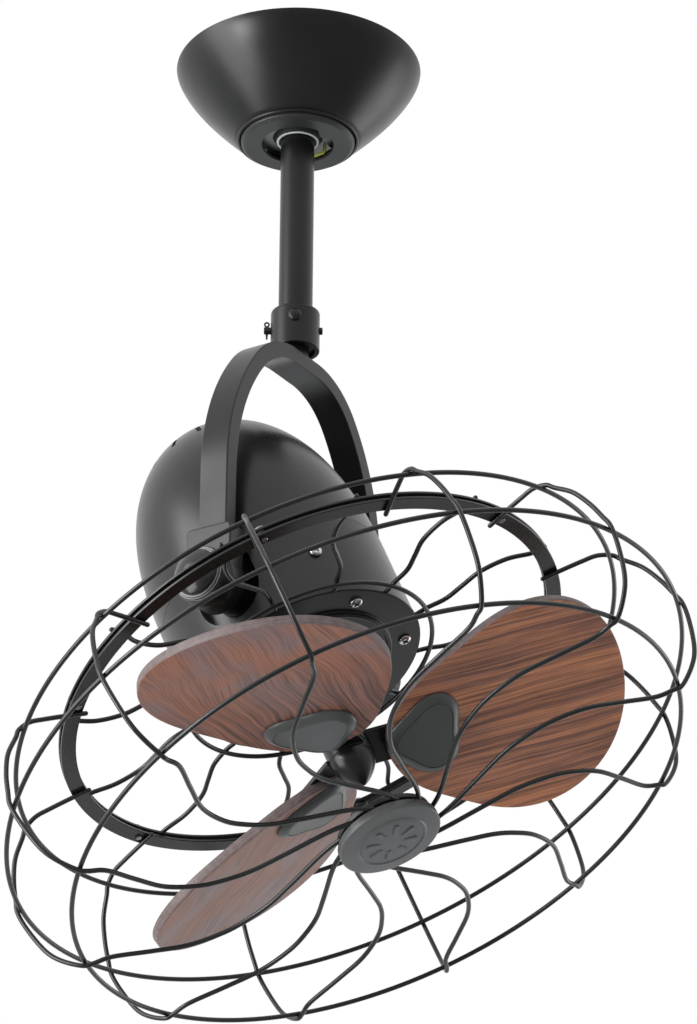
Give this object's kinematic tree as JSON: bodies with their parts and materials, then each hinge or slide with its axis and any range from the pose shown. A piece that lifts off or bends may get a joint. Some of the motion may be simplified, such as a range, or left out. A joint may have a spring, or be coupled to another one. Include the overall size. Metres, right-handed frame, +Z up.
{
  "type": "caged ceiling fan",
  "caption": "Ceiling fan whose caged head tilts and turns in an arched yoke under a short downrod, with walnut paddle blades and a curled wire guard",
  "frame": {"origin": "middle of the ceiling bracket's top face, in the plane of the ceiling, on the downrod's axis", "axes": "+Z up to the ceiling, X along the head's tilt axis, the head leans towards -Y"},
  "size_m": [0.4428, 0.413, 0.6308],
  "materials": {
    "black_paint": "satin black powder coat",
    "black_trim": "satin black trim",
    "black_gloss": "glossy black",
    "black_moulding": "matt black",
    "white_moulding": "matt white",
    "earth_sleeve": "yellow and green sleeve",
    "zinc_steel": "zinc plated",
    "bright_screws": "bright plated",
    "dark_steel": "dark oxide",
    "core_steel": "bare laminations",
    "bearing_steel": "ground steel",
    "copper_coil": "varnished copper",
    "walnut": "satin walnut veneer",
    "guard_wire": "satin black powder coat"
  },
  "bodies": {
    "ceiling_part": {"ceiling_bracket": "zinc_steel", "canopy": "black_paint", "canopy_screws": "zinc_steel", "canopy_ring": "black_trim", "terminal_block": "white_moulding", "earth_wire": "earth_sleeve"},
    "hanging_rod": {"hanger_ball": "black_moulding", "ball_pin": "zinc_steel", "downrod": "black_paint", "yoke_collar": "black_paint", "collar_screw": "black_paint", "clevis_pin": "dark_steel", "split_pin": "dark_steel"},
    "yoke_part": {"yoke": "black_paint", "yoke_nipple": "zinc_steel", "nipple_nut": "zinc_steel", "swivel_washer": "dark_steel", "pivot_rings": "black_trim", "pivot_caps": "black_trim"},
    "head": {"pivot_bolts": "zinc_steel", "friction_washers": "black_moulding", "rear_cover": "black_paint", "motor_housing": "black_paint", "side_screws": "bright_screws", "front_plate": "black_paint", "front_plate_screws": "bright_screws", "motor_bracket": "zinc_steel", "stator_core": "core_steel", "windings": "copper_coil", "motor_bell": "zinc_steel", "through_bolts": "zinc_steel", "bearings": "bearing_steel", "capacitor": "white_moulding", "rear_band": "guard_wire", "inner_ring": "guard_wire", "rear_wires": "guard_wire", "front_band": "guard_wire", "back_ring": "guard_wire", "middle_ring": "guard_wire", "front_ring": "guard_wire", "front_wires": "guard_wire", "band_spacers": "black_moulding", "band_screws": "bright_screws", "back_plate": "black_trim", "centre_cap": "black_trim", "cap_screw": "zinc_steel"},
    "rotor": {"motor_shaft": "dark_steel", "rotor_core": "core_steel", "blade_hub": "black_paint", "blade_a": "walnut", "blade_b": "walnut", "blade_c": "walnut", "blade_pads": "black_trim", "blade_screws": "zinc_steel", "nose_cone": "black_gloss"}
  },
  "joints": [
    {"name": "rod_swing", "type": "hinge", "parent": "ceiling_part", "child": "hanging_rod", "pos_m": [0, 0, -0.04038], "axis": [1, 0, 0], "range_deg": [-12, 12]},
    {"name": "head_pan", "type": "hinge", "parent": "hanging_rod", "child": "yoke_part", "pos_m": [0, 0, -0.205], "axis": [0, 0, 1], "range_deg": [-175, 175]},
    {"name": "head_tilt", "type": "hinge", "parent": "yoke_part", "child": "head", "pos_m": [0, 0, -0.404], "axis": [1, 0, 0], "range_deg": [-59.2, 110.8]},
    {"name": "blade_spin", "type": "hinge", "parent": "head", "child": "rotor", "pos_m": [0, 0, -0.404], "axis": [0, -0.4352, -0.9003], "continuous": true}
  ]
}
